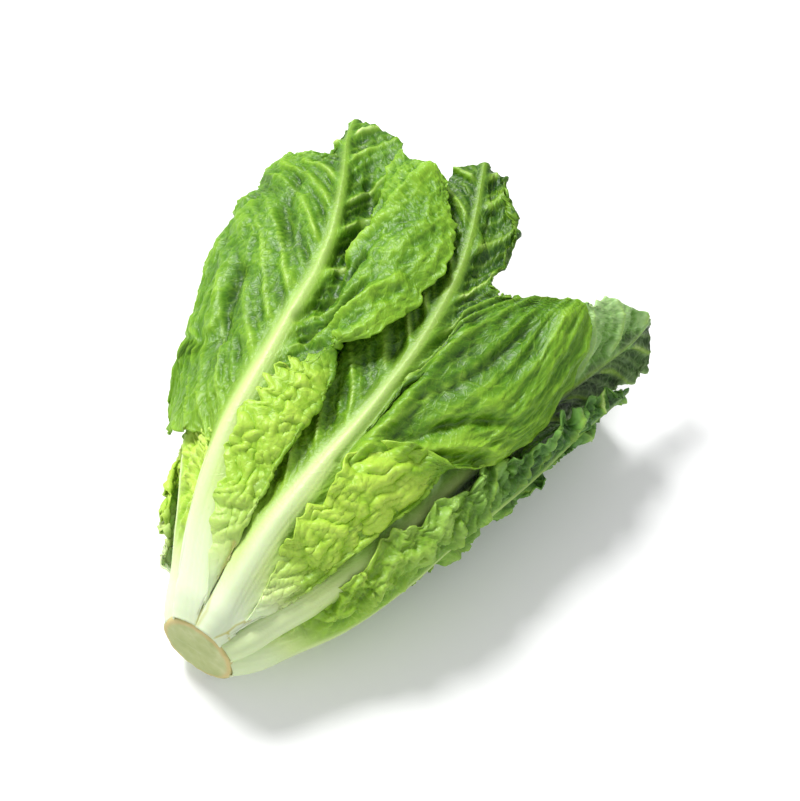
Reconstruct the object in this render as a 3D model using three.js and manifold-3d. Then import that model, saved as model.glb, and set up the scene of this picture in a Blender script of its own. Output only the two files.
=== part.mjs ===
// A romaine lettuce head lying on its side, in millimetres.
// The cut stem end is at low Y, the leaf tips are at high Y, and Z is up.
import * as THREE from "three";
import { mergeVertices } from "three/addons/utils/BufferGeometryUtils.js";
import Module from "manifold-3d";

const wasm = await Module();
wasm.setup();

// Outside of the whole head, station by station along Y.
const STATION_Y = [0, 20, 50, 80, 110, 140, 170, 200, 230, 260, 290];
const LEFT_REACH = [20, 27, 46, 67, 83, 97, 111, 118, 119, 112, 100];
const RIGHT_REACH = [20, 31, 51, 66, 76, 85, 93, 99, 106, 110, 104];
const TOP_HEIGHT = [49, 57, 71, 81, 87, 90, 92, 93, 94, 94, 93];
const BOTTOM_HEIGHT = [9, 4, 0, 0, 0, 0, 0, 0, 0, 2, 6];

// The head sags flat under its own weight at this height.
const SAG_HEIGHT = 3;
const REST_PLANE = 2.6;

// A layer lies this many times further in at the sides than at the top.
const SIDE_SPREAD = 1.6;

// Blades: wall, and how far its outside stands off the guide lines.
const BLADE_THICKNESS = 1.1;
const OUTER_SHARE = 0.5;

// Edge waves are drawn out along the leaf by this share of their height, and
// start this far up it.
const WAVE_DRAW = 0.6;
const WAVE_START = 0.15;

// A rib gets lower towards the tip by this power, and a stalk thinner by its own.
const RIB_FADE = 1.3;
const STALK_FADE = 1.2;
const STALK_EDGE_SHARE = 0.35;

// Cut stem.
const STEM_AXIS_Z = 29;
const STEM_SIDES = 28;
const STEM_PROFILE = [
  [0, 0], [18.6, 0], [20, 1.2], [20.6, 3.5], [20.4, 6.2],
  [15.2, 7.2], [15.6, 15], [15.6, 24], [13, 32], [8, 41], [0, 47],
];

// Heart.
const HEART_START_Y = 50;
const HEART_END_Y = 212;
const HEART_AXIS_Z = 46;
const HEART_HALF_WIDTH = 33;
const HEART_HALF_HEIGHT = 15;
const HEART_CORE_AROUND = 16;
const HEART_CORE_ALONG = 12;
const HEART_LEAVES = 7;
const HEART_LEAF_START_Y = 64;
const HEART_LEAF_LENGTHS = [128, 140, 152];
const HEART_LEAF_HALF_TURN = 0.5;
const HEART_LEAF_ROWS = 9;
const HEART_LEAF_COLUMNS = 6;
const HEART_LEAF_TIP_THICKNESS = 1.6;
const HEART_LEAF_ROOT_EXTRA = 9;
const HEART_LEAF_LIFT = 0.03;
const HEART_LEAF_FLARE = 0.16;
const HEART_LEAF_FRILL = 0.04;
const HEART_LEAF_FRILL_TURNS = 9;
const HEART_LEAF_TIP_ROUND = 9;
const HEART_LEAF_NARROWING = 0.3;

// The heart is as full as this part of a half wave, raised to a power.
const HEART_FULL_FROM = 0.12;
const HEART_FULL_SPAN = 0.78;
const HEART_FULL_POWER = 0.7;

// Inner leaves curve round the heart. Their outline is given as shares of the
// half angle, from base to tip.
const INNER_OUTLINE = [0.55, 0.6, 0.8, 0.98, 1, 0.9, 0.55];
const INNER_BASE_Y = 29;
const INNER_BASE_DEPTH = 9.6;
const INNER_TIP_ROUND = 16;
const INNER_SETTLED_AT = 0.25;

const BLADE_GREEN = 0x6fa53c;
const PALE_GREEN = 0xa5cd4b;
const DARK_GREEN = 0x4a7f2c;
const HEART_YELLOW = 0xd8e07a;
const CUT_CREAM = 0xd5d3a4;
const LEAF_ROUGHNESS = 0.5;

const radians = (degrees) => (degrees * Math.PI) / 180;

// Smooth curve through evenly numbered values, read at a place between them.
function alongValues(values, place) {
  const last = values.length - 1;
  const clamped = Math.min(Math.max(place, 0), last);
  const i = Math.min(Math.floor(clamped), last - 1);
  const t = clamped - i;
  const before = i > 0 ? values[i - 1] : 2 * values[i] - values[i + 1];
  const after = i < last - 1 ? values[i + 2] : 2 * values[i + 1] - values[i];
  const startSlope = (values[i + 1] - before) / 2;
  const endSlope = (after - values[i]) / 2;
  const t2 = t * t;
  const t3 = t2 * t;
  return (2 * t3 - 3 * t2 + 1) * values[i] + (t3 - 2 * t2 + t) * startSlope
    + (3 * t2 - 2 * t3) * values[i + 1] + (t3 - t2) * endSlope;
}

function stationPlace(y) {
  const last = STATION_Y.length - 1;
  for (let i = 0; i < last; i += 1) {
    if (y <= STATION_Y[i + 1]) {
      return i + (Math.max(y, 0) - STATION_Y[i]) / (STATION_Y[i + 1] - STATION_Y[i]);
    }
  }
  return last;
}

// A point on the head: y along it, angle round it from the top towards +X,
// depth in from its outside.
function headPoint(y, angle, depth) {
  const place = stationPlace(y);
  const turn = radians(angle);
  const side = Math.sin(turn);
  const reach = alongValues(side < 0 ? LEFT_REACH : RIGHT_REACH, place);
  const top = alongValues(TOP_HEIGHT, place);
  const bottom = alongValues(BOTTOM_HEIGHT, place);
  const middle = (top + bottom) / 2;
  const half = (top - bottom) / 2;
  const outsideZ = middle + half * Math.cos(turn);
  const sag = Math.max(0, SAG_HEIGHT - outsideZ);
  return new THREE.Vector3(
    (reach - depth * SIDE_SPREAD) * side,
    y,
    middle + (half - depth) * Math.cos(turn) + sag,
  );
}

// A leaf is a sheet drawn through guide lines that run from its base to its tip.
// Each guide line is a row of [y, angle, depth] on the head.
function sheetPoint(leaf, along, across) {
  const lineCount = leaf.lines.length;
  const lineStops = leaf.lines.map((line) => {
    const place = along * (line.length - 1);
    return [0, 1, 2].map((k) => alongValues(line.map((stop) => stop[k]), place));
  });
  const place = across * (lineCount - 1);
  const [y, angle, depth] = [0, 1, 2].map(
    (k) => alongValues(lineStops.map((stop) => stop[k]), place),
  );
  const fromRib = place - leaf.ribLine;
  const edgeSpan = fromRib < 0 ? leaf.ribLine : lineCount - 1 - leaf.ribLine;
  const edge = Math.abs(fromRib) / edgeSpan;
  const wave = Math.sin(2 * Math.PI * leaf.waves * along + leaf.phase + Math.sign(fromRib));
  const grown = Math.min(1, along / WAVE_START);
  const ripple = leaf.ripple * edge ** 3 * wave * grown;
  return headPoint(y + WAVE_DRAW * ripple, angle, depth + ripple);
}

// How far the stalk and rib stand out of the blade.
function ribBump(leaf, along, across) {
  const offset = (across * (leaf.lines.length - 1) - leaf.ribLine) / leaf.ribWidth;
  const fade = (1 - along) ** RIB_FADE;
  return leaf.ribHeight * fade * Math.exp(-offset * offset);
}

function stalkThickness(leaf, along) {
  return leaf.stalkThickness * Math.max(0, 1 - along / leaf.stalkShare) ** STALK_FADE;
}

const SMALL_STEP = 1e-3;

function sheetNormal(leaf, along, across) {
  const a0 = Math.max(0, along - SMALL_STEP);
  const a1 = Math.min(1, along + SMALL_STEP);
  const c0 = Math.max(0, across - SMALL_STEP);
  const c1 = Math.min(1, across + SMALL_STEP);
  const up = sheetPoint(leaf, a1, across).sub(sheetPoint(leaf, a0, across));
  const over = sheetPoint(leaf, along, c1).sub(sheetPoint(leaf, along, c0));
  return over.cross(up).normalize();
}

// Places across the sheet: even between guide lines, with one more on each side of
// the rib unless it would be nearly on another.
const CLOSEST_COLUMNS = 0.2;

function acrossPlaces(leaf) {
  const spans = leaf.lines.length - 1;
  const places = [];
  for (let i = 0; i <= spans * leaf.columns; i += 1) {
    places.push(i / (spans * leaf.columns));
  }
  const rib = leaf.ribLine / spans;
  const beside = leaf.ribWidth / spans;
  return [...places, rib - beside, rib + beside].sort((a, b) => a - b)
    .filter((place, i, all) => (
      i === 0 || place - all[i - 1] > CLOSEST_COLUMNS / (spans * leaf.columns)
    ));
}

function sheetFaces(rows, columns) {
  const faces = [];
  const outer = (i, j) => i * columns + j;
  const inner = (i, j) => rows * columns + i * columns + j;
  const quad = (a, b, c, d) => faces.push(a, b, c, a, c, d);
  for (let i = 0; i < rows - 1; i += 1) {
    for (let j = 0; j < columns - 1; j += 1) {
      quad(outer(i, j), outer(i, j + 1), outer(i + 1, j + 1), outer(i + 1, j));
      faces.push(inner(i, j), inner(i + 1, j + 1), inner(i, j + 1));
      faces.push(inner(i, j), inner(i + 1, j), inner(i + 1, j + 1));
    }
    quad(outer(i, 0), outer(i + 1, 0), inner(i + 1, 0), inner(i, 0));
    const edge = columns - 1;
    quad(outer(i, edge), inner(i, edge), inner(i + 1, edge), outer(i + 1, edge));
  }
  for (let j = 0; j < columns - 1; j += 1) {
    const tip = rows - 1;
    quad(outer(0, j), inner(0, j), inner(0, j + 1), outer(0, j + 1));
    quad(outer(tip, j), outer(tip, j + 1), inner(tip, j + 1), inner(tip, j));
  }
  return faces;
}

function leafGeometry(leaf) {
  const columns = acrossPlaces(leaf);
  const rows = leaf.rows;
  const outer = [];
  const inner = [];
  for (let i = 0; i < rows; i += 1) {
    const along = i / (rows - 1);
    for (const across of columns) {
      const point = sheetPoint(leaf, along, across);
      const normal = sheetNormal(leaf, along, across);
      const bump = ribBump(leaf, along, across);
      const spread = Math.min(1, STALK_EDGE_SHARE + bump / leaf.ribHeight);
      const depth = BLADE_THICKNESS + stalkThickness(leaf, along) * spread;
      const outside = point.clone().addScaledVector(normal, OUTER_SHARE + bump);
      const inside = point.clone().addScaledVector(normal, OUTER_SHARE - depth);
      if (leaf.rests) {
        outside.z = Math.max(outside.z, REST_PLANE);
        inside.z = Math.max(inside.z, REST_PLANE + BLADE_THICKNESS);
      }
      outer.push(outside.x, outside.y, outside.z);
      inner.push(inside.x, inside.y, inside.z);
    }
  }
  const geometry = new THREE.BufferGeometry();
  geometry.setAttribute("position", new THREE.Float32BufferAttribute([...outer, ...inner], 3));
  geometry.setIndex(sheetFaces(rows, columns.length));
  geometry.computeVertexNormals();
  return geometry;
}

function leafMaterial(color) {
  return new THREE.MeshStandardMaterial({ color, roughness: LEAF_ROUGHNESS, metalness: 0 });
}

const LEAF_DEFAULTS = {
  rows: 17, columns: 2, ribWidth: 0.4, ribHeight: 2, stalkThickness: 3, stalkShare: 0.6,
  waves: 6, phase: 0, ripple: 1, rests: false, color: BLADE_GREEN,
};

function leafMesh(settings) {
  const leaf = { ...LEAF_DEFAULTS, ...settings };
  const mesh = new THREE.Mesh(leafGeometry(leaf), leafMaterial(leaf.color));
  mesh.name = leaf.name;
  return mesh;
}

// Outer leaf on the upper left. Its lower right half folds back over itself.
function leafLeft() {
  const leftEdge = [
    [7, -49, 1], [50, -47, 1.5], [84, -45, 1.5], [89, -92, -5], [155, -92, 0], [216, -88, -1],
    [247, -77, -3],
  ];
  const leftBlade = [
    [7, -39, 0.5], [47, -43, 0.8], [89, -43, 1], [128, -62, -1], [180, -64, -2], [224, -64, -3],
    [249, -58, -3],
  ];
  const shoulder = [
    [7, -34, 0.5], [46, -41, 0.4], [89, -38, 0.5], [134, -46, -0.5], [185, -47, -1],
    [230, -51, -2], [259, -50, -1],
  ];
  const rib = [
    [7, -28, 0.5], [45, -38, 0], [90, -33, 0], [140, -28, 0], [190, -26.5, 0], [236, -35, -2],
    [279, -54, -5],
  ];
  const besideRib = [
    [7, -17, 1], [45, -22, 1.5], [90, -20, 2], [135, -19, 2], [185, -21, 4.5],
    [234, -26.5, 4.5], [279, -37, 0],
  ];
  const crease = [
    [7, -8, 1.5], [42, -5, 1], [85, -4, 0], [131, -4, 0], [184, -16, -2.5],
    [232, -17.5, -4], [266, -27, -3],
  ];
  const foldedBack = [
    [7, -6, 1], [42, -9, -3], [83, -13, -5], [129, -11, -6], [180, -7, -5], [230, -8, -5],
    [264, -16, -4],
  ];
  const freeEdge = [
    [7, -4, 1], [42, -18, -3.5], [80, -26, -5], [128, -19, -6], [174, 1, -1], [228, 1, -1],
    [262, -10, -1],
  ];
  return leafMesh({
    name: "leaf_left",
    lines: [leftEdge, leftBlade, shoulder, rib, besideRib, crease, foldedBack, freeEdge],
    ribLine: 3, rows: 27, ripple: 1.6, waves: 7, ribHeight: 2.6, stalkThickness: 3,
  });
}

// Middle leaf. Its right half folds back below and spreads in a broad lobe above.
function leafMiddle() {
  const leftEdge = [
    [9, 0, 3], [35, -8, 6.5], [60, -14, 7.5], [85, -18, 8], [105, -20, 8.5], [125, -20, 8.5],
    [150, -20, 8.5], [182, -19, 9], [222, -17, 9], [256, -18, 7], [275, -18, 5],
  ];
  const rib = [
    [9, 14, 2.5], [35, 10, 3], [60, 8, 3.5], [85, 9, 3.5], [105, 10, 3.5], [125, 11, 3.5],
    [150, 11, 3.5], [182, 10, 3.5], [222, 6, 3.5], [258, -1, 3.5], [285, -8, 2],
  ];
  const besideRib = [
    [9, 20, 2.8], [35, 25, 3.5], [60, 24, 4], [86, 22, 4], [109, 20, 3], [131, 17, 0.5],
    [160, 16, -1.5], [198, 18, -1], [218, 12, 6], [254, 4, 7], [285, -5, 4],
  ];
  const crease = [
    [9, 26, 2.8], [36, 46, 3], [60, 47, 3.2], [88, 48, 4], [116, 52, 4], [140, 45, 4],
    [174, 46, -1], [220, 32, 0], [219, 16, 5], [253, 10, 6], [284, -2, 4],
  ];
  const foldedBack = [
    [9, 29, 2.5], [35, 39, -1.5], [61, 33, -3], [90, 34, -3.5], [119, 39, -2.5], [144, 54, 2],
    [184, 57, 0], [233, 38, 0], [220, 18.5, 4], [255, 13, 4], [283, 0, 3],
  ];
  const freeEdge = [
    [9, 32, 2], [32, 27, -2.5], [62, 16, -4.5], [92, 17, -5.5], [123, 20, -5], [147, 62, 2],
    [191, 66, 2], [243, 43, 1], [222, 20, 3.5], [253, 13.5, 4], [279, 0, 3],
  ];
  return leafMesh({
    name: "leaf_middle", lines: [leftEdge, rib, besideRib, crease, foldedBack, freeEdge],
    ribLine: 1, rows: 33, columns: 3, ripple: 1.4, waves: 8, ribHeight: 2.8, ribWidth: 0.34,
    stalkThickness: 2.6,
  });
}

// Right leaf, cupped and mostly behind its neighbours.
function leafRight() {
  const leftEdge = [
    [17, 47, 5], [48, 44, 8], [98, 44, 11.5], [140, 40, 12], [185, 38, 11], [230, 40, 8],
    [257, 48, 5],
  ];
  const leftBlade = [
    [17, 51, 5], [49, 53, 8], [99, 55, 11.5], [140, 56, 13], [183, 57, 12], [228, 60, 8],
    [265, 63, 4],
  ];
  const rib = [
    [17, 57, 5], [50, 62, 8], [100, 67, 11], [140, 72, 12], [180, 77, 12], [223, 80, 11],
    [272, 82, 7],
  ];
  const rightBlade = [
    [17, 63, 5], [50, 71, 8], [100, 79, 11], [140, 88, 12], [180, 95, 12], [225, 95, 9],
    [268, 93, 5],
  ];
  const rightEdge = [
    [17, 67, 5], [50, 79, 8], [100, 94, 10], [140, 104, 10], [180, 108, 10], [222, 103, 7],
    [250, 101, -1],
  ];
  return leafMesh({
    name: "leaf_right", lines: [leftEdge, leftBlade, rib, rightBlade, rightEdge], ribLine: 2,
    rows: 20, ripple: 1.2, ribHeight: 1.6, stalkThickness: 2, color: DARK_GREEN,
  });
}

// Outer leaf along the lower right, with a smooth stalk and a crinkled upper edge.
function leafLowerRight() {
  const upperEdge = [
    [7, 84, 1], [36, 70, 1.5], [60, 62, 1], [92, 57, 1.5], [122, 61, 2.5], [148, 64, 5],
    [168, 71, 3], [188, 68, 1], [206, 76, 1], [226, 84, 1],
  ];
  const upperBlade = [
    [7, 92, 0.5], [35, 86, 0], [59, 80, -1], [89, 74, -1.5], [117, 76, -1.5], [142, 79, 0],
    [164, 84, 0], [186, 82, 0], [206, 86, 0], [229, 88, 0],
  ];
  const rib = [
    [7, 102, 0.5], [34, 105, -0.5], [58, 104, -1], [86, 97, -0.5], [110, 93, 0], [134, 92, 0],
    [158, 92, 0], [182, 91, 0], [205, 92, 0], [231, 92, 0],
  ];
  const lowerBlade = [
    [7, 111, 0.5], [36, 115, 0.5], [59, 114, 0], [88, 108, 0], [113, 101, 0], [138, 99, 0],
    [160, 98, 0], [183, 97, 0], [205, 96, 0], [228, 96, 0],
  ];
  const lowerEdge = [
    [7, 117, 1], [39, 123, 1], [62, 122, 0.5], [91, 115, 0], [116, 108, -1.5], [141, 105, -1.5],
    [163, 104, -1.5], [185, 102, -1], [206, 100, 0], [224, 99, 1],
  ];
  return leafMesh({
    name: "leaf_lower_right", lines: [upperEdge, upperBlade, rib, lowerBlade, lowerEdge],
    ribLine: 2, rows: 27, ripple: 1.5, waves: 8, ribHeight: 2.2, stalkThickness: 2.6,
  });
}

// Outer leaf at the far left, half under the upper left one.
function leafFarLeft() {
  const lowerEdge = [
    [8, -96, 2.5], [45, -106, 4.5], [90, -122, 5], [135, -130, 5], [180, -128, 5],
    [220, -120, 5], [244, -104, 4],
  ];
  const rib = [
    [8, -78, 2], [45, -80, 2.5], [90, -84, 4.5], [135, -90, 5], [180, -94, 5], [225, -94, 5],
    [254, -92, 4],
  ];
  const upperEdge = [
    [8, -58, 2.5], [45, -53, 3.5], [70, -51, 4], [95, -58, 5], [140, -62, 5], [190, -68, 5],
    [242, -80, 4],
  ];
  return leafMesh({
    name: "leaf_far_left", lines: [lowerEdge, rib, upperEdge], ribLine: 1, columns: 4,
    ripple: 1, ribWidth: 0.2, ribHeight: 1.4, stalkThickness: 2, color: PALE_GREEN,
  });
}

// Underside leaves, pressed flat where the head rests on them.
function leafUnderLeft() {
  const lowerEdge = [
    [7, -147, 1.5], [45, -156, 3], [90, -164, 3.5], [140, -165, 3.5], [185, -162, 3.5],
    [222, -150, 2.5],
  ];
  const rib = [
    [7, -130, 1], [45, -132, 0], [90, -135, 0], [140, -137, 0], [185, -136, 0],
    [232, -130, 0],
  ];
  const upperEdge = [
    [7, -112, 1], [24, -99, -4.5], [38, -95, -5], [54, -92, -5], [82, -104, 0], [140, -112, 1],
    [215, -112, 1],
  ];
  return leafMesh({
    name: "leaf_under_left", lines: [lowerEdge, rib, upperEdge], ribLine: 1, columns: 4,
    ribWidth: 0.2, ribHeight: 1.4, stalkThickness: 2, ripple: 0.8, rests: true,
  });
}

function leafUnderMiddle() {
  const leftEdge = [
    [7, 204, 1], [45, 202, 0.5], [90, 201, 0], [140, 201, 0], [190, 199, 0], [238, 192, 0],
  ];
  const rib = [
    [7, 187, 1], [45, 184, 0], [90, 181, 0], [140, 180, 0], [190, 180, 0], [252, 180, 0],
  ];
  const rightEdge = [
    [7, 171, 1], [45, 165, 0.5], [90, 164, 0], [140, 165, 0], [190, 165, 0], [238, 169, 0],
  ];
  return leafMesh({
    name: "leaf_under_middle", lines: [rightEdge, rib, leftEdge], ribLine: 1, columns: 4,
    ribWidth: 0.25, ribHeight: 0.8, stalkThickness: 1.6, ripple: 0.5, rests: true,
  });
}

function leafUnderRight() {
  const upperEdge = [
    [7, 127, 1], [45, 128, 5], [90, 108, 4.5], [140, 101, 4.5], [190, 104, 4.5],
    [230, 116, 1],
  ];
  const rib = [
    [7, 145, 1], [45, 147, 0], [90, 150, 0], [140, 150, 0], [190, 148, 0], [240, 142, 0],
  ];
  const lowerEdge = [
    [7, 162, 1.5], [45, 166, 4], [90, 168, 4.5], [140, 168, 4.5], [190, 167, 4.5],
    [230, 158, 2.5],
  ];
  return leafMesh({
    name: "leaf_under_right", lines: [upperEdge, rib, lowerEdge], ribLine: 1,
    columns: 4, ribWidth: 0.2, ribHeight: 1, stalkThickness: 1.8, ripple: 0.8, rests: true,
  });
}

// An inner leaf lies round its own middle angle.
function innerLeaf(name, middle, halfAngle, depth, tipY, phase) {
  const stops = INNER_OUTLINE.length - 1;
  const line = (side) => INNER_OUTLINE.map((share, i) => {
    const along = i / stops;
    const shorter = Math.abs(side) * INNER_TIP_ROUND * along ** 4;
    const settled = Math.min(1, along / INNER_SETTLED_AT);
    return [
      INNER_BASE_Y + (tipY - INNER_BASE_Y) * along - shorter,
      middle + side * halfAngle * share,
      INNER_BASE_DEPTH + (depth - INNER_BASE_DEPTH) * settled,
    ];
  });
  return leafMesh({
    name, lines: [line(-1), line(0), line(1)], ribLine: 1, rows: 15, columns: 4, phase,
    ribWidth: 0.2, ribHeight: 1.2, stalkThickness: 1.4, ripple: 1, waves: 4, color: PALE_GREEN,
  });
}

// Heart: small upright leaves that stand out of a dense core, joined in one solid.
const SAME_POINT = 1e-4;

function toSolid(geometry) {
  const bare = new THREE.BufferGeometry();
  bare.setAttribute("position", geometry.getAttribute("position"));
  bare.setIndex(geometry.getIndex());
  const merged = mergeVertices(bare, SAME_POINT);
  return new wasm.Manifold(new wasm.Mesh({
    numProp: 3,
    vertProperties: new Float32Array(merged.getAttribute("position").array),
    triVerts: new Uint32Array(merged.getIndex().array),
  }));
}

function toGeometry(solid) {
  const mesh = solid.getMesh();
  const geometry = new THREE.BufferGeometry();
  geometry.setAttribute("position", new THREE.BufferAttribute(mesh.vertProperties, 3));
  geometry.setIndex(new THREE.BufferAttribute(mesh.triVerts, 1));
  geometry.computeVertexNormals();
  return geometry;
}

function heartCore() {
  const geometry = new THREE.SphereGeometry(1, HEART_CORE_AROUND, HEART_CORE_ALONG);
  const halfLength = (HEART_END_Y - HEART_START_Y) / 2;
  geometry.rotateX(Math.PI / 2);
  geometry.scale(HEART_HALF_WIDTH, halfLength, HEART_HALF_HEIGHT);
  geometry.translate(0, HEART_START_Y + halfLength, HEART_AXIS_Z);
  return geometry;
}

// How full the heart is, from its leaves' roots to their tips.
function heartBelly(along) {
  return Math.sin(Math.PI * (HEART_FULL_FROM + HEART_FULL_SPAN * along)) ** HEART_FULL_POWER;
}

function heartLeaf(index) {
  const turn = (index / HEART_LEAVES) * 2 * Math.PI;
  const length = HEART_LEAF_LENGTHS[index % HEART_LEAF_LENGTHS.length];
  const rows = HEART_LEAF_ROWS;
  const columns = HEART_LEAF_COLUMNS;
  const outer = [];
  const inner = [];
  for (let i = 0; i < rows; i += 1) {
    const along = i / (rows - 1);
    const belly = heartBelly(along);
    const thickness = HEART_LEAF_TIP_THICKNESS + HEART_LEAF_ROOT_EXTRA * (1 - along);
    for (let j = 0; j < columns; j += 1) {
      const side = (2 * j) / (columns - 1) - 1;
      const narrowed = 1 - HEART_LEAF_NARROWING * along ** 3;
      const angle = turn + side * HEART_LEAF_HALF_TURN * narrowed;
      const frillWave = Math.sin(HEART_LEAF_FRILL_TURNS * along + index);
      const frill = HEART_LEAF_FRILL * side ** 2 * frillWave;
      const lift = 1 + HEART_LEAF_LIFT + HEART_LEAF_FLARE * along ** 2 + frill;
      const y = HEART_LEAF_START_Y + (length - HEART_LEAF_TIP_ROUND * side ** 2) * along;
      const place = (size, trim) => [
        Math.sin(angle) * (HEART_HALF_WIDTH * size - trim) * belly,
        y,
        HEART_AXIS_Z + Math.cos(angle) * (HEART_HALF_HEIGHT * size - trim) * belly,
      ];
      outer.push(...place(lift, 0));
      inner.push(...place(lift, thickness));
    }
  }
  const geometry = new THREE.BufferGeometry();
  geometry.setAttribute("position", new THREE.Float32BufferAttribute([...outer, ...inner], 3));
  geometry.setIndex(sheetFaces(rows, columns));
  return geometry;
}

function heart() {
  let solid = toSolid(heartCore());
  for (let index = 0; index < HEART_LEAVES; index += 1) {
    solid = solid.add(toSolid(heartLeaf(index)));
  }
  const mesh = new THREE.Mesh(toGeometry(solid), leafMaterial(HEART_YELLOW));
  mesh.name = "heart";
  return mesh;
}

function stemCore() {
  const profile = STEM_PROFILE.map(([radius, y]) => new THREE.Vector2(radius, y));
  const geometry = new THREE.LatheGeometry(profile, STEM_SIDES);
  const mesh = new THREE.Mesh(geometry, leafMaterial(CUT_CREAM));
  mesh.name = "stem_core";
  mesh.position.set(0, 0, STEM_AXIS_Z);
  return mesh;
}

const head = new THREE.Group();
head.add(
  stemCore(),
  leafLeft(),
  leafMiddle(),
  leafRight(),
  leafLowerRight(),
  leafFarLeft(),
  leafUnderLeft(),
  leafUnderMiddle(),
  leafUnderRight(),
  innerLeaf("leaf_inner_left", -62, 58, 15, 248, 0.4),
  innerLeaf("leaf_inner_right", 66, 54, 18, 238, 1.7),
  innerLeaf("leaf_inner_under", 180, 66, 10, 226, 2.9),
  heart(),
);

// The origin is on the rest plane, under the middle of the head's outline.
head.updateMatrixWorld(true);
const outline = new THREE.Box3().setFromObject(head, true);
const centre = outline.getCenter(new THREE.Vector3());
head.position.set(-centre.x, -centre.y, -outline.min.z);

export default head;
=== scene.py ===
"""A romaine lettuce head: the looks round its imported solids.

Leaves are drawn here with the same guide lines as the solids, in millimetres on
the head, and get their veins, blisters, teeth and colours. Meshes are in metres.
"""

import math
from types import SimpleNamespace

import bmesh
import bpy
import numpy as np
from mathutils import Matrix, Vector


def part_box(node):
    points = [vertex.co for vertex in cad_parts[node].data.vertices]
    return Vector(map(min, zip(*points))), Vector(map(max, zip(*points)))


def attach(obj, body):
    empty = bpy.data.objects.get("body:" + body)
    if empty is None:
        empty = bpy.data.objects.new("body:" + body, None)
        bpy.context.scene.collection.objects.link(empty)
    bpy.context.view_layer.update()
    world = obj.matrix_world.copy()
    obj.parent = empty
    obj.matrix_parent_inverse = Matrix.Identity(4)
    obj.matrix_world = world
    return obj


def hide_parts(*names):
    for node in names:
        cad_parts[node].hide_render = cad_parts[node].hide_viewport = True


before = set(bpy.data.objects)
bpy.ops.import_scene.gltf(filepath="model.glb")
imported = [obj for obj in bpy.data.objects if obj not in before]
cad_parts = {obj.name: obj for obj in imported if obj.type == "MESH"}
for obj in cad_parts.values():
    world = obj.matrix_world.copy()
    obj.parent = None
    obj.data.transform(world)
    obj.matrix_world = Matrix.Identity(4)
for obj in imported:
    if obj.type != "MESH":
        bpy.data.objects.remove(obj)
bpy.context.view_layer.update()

MM = 0.001

# Where the head's own numbers start: on the axis of the stem, at its cut face.
STEM_AXIS_Z = 29.0
stem_low, stem_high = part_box("stem_core")
ORIGIN = np.array([
    (stem_low.x + stem_high.x) / 2 / MM,
    stem_low.y / MM,
    (stem_low.z + stem_high.z) / 2 / MM - STEM_AXIS_Z,
])


# Camera and stage

VIEW_AZIMUTH = math.radians(33)
VIEW_ELEVATION = math.radians(61)
VIEW_TARGET = (16.6, 157.9, 60.0)
VIEW_DISTANCE = 945.0
VIEW_LENS = 85.0
SENSOR_WIDTH = 36.0

# Lights: place in metres, width, power and colour.
KEY_LIGHT = ((-0.9, 0.3, 1.2), 0.45, 25, (1, 1, 1))
FILL_LIGHT = ((1.2, -1.0, 1.3), 1.4, 6, (0.9, 0.95, 1))
SKY_STRENGTH = 0.56
FLOOR_WIDTH = 30
FLOOR_WHITE = (0.97, 0.97, 0.97, 1)
FLOOR_ROUGHNESS = 0.8
FLOOR_SPECULAR = 0.2


def add_camera():
    back = Vector((
        math.sin(VIEW_AZIMUTH) * math.cos(VIEW_ELEVATION),
        -math.cos(VIEW_AZIMUTH) * math.cos(VIEW_ELEVATION),
        math.sin(VIEW_ELEVATION),
    ))
    right = Vector((math.cos(VIEW_AZIMUTH), math.sin(VIEW_AZIMUTH), 0))
    up = back.cross(right)
    data = bpy.data.cameras.new("camera")
    data.lens = VIEW_LENS
    data.sensor_width = SENSOR_WIDTH
    camera = bpy.data.objects.new("camera", data)
    bpy.context.scene.collection.objects.link(camera)
    target = Vector((np.array(VIEW_TARGET) + ORIGIN) * MM)
    turned = Matrix((right, up, back)).transposed().to_4x4()
    camera.matrix_world = Matrix.Translation(target + back * VIEW_DISTANCE * MM) @ turned
    bpy.context.scene.camera = camera


def add_light(name, place, size, power, color):
    data = bpy.data.lights.new(name, "AREA")
    data.shape = "DISK"
    data.size = size
    data.energy = power
    data.color = color
    light = bpy.data.objects.new(name, data)
    bpy.context.scene.collection.objects.link(light)
    light.location = place
    light.rotation_euler = (-Vector(place)).to_track_quat("-Z", "Y").to_euler()


def add_stage():
    bpy.ops.mesh.primitive_plane_add(size=FLOOR_WIDTH, location=(0, 0, 0))
    floor = bpy.context.object
    floor.name = "floor"
    material = bpy.data.materials.new("pale_floor")
    material.use_nodes = True
    shader = material.node_tree.nodes["Principled BSDF"]
    shader.inputs["Base Color"].default_value = FLOOR_WHITE
    shader.inputs["Roughness"].default_value = FLOOR_ROUGHNESS
    shader.inputs["Specular IOR Level"].default_value = FLOOR_SPECULAR
    floor.data.materials.append(material)
    world = bpy.data.worlds.new("soft_white")
    bpy.context.scene.world = world
    world.use_nodes = True
    sky = world.node_tree.nodes["Background"]
    sky.inputs["Color"].default_value = (1, 1, 1, 1)
    sky.inputs["Strength"].default_value = SKY_STRENGTH
    add_light("key", *KEY_LIGHT)
    add_light("fill", *FILL_LIGHT)
    bpy.context.scene.view_settings.view_transform = "Standard"


# Shape of the whole head, as in the solids

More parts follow.
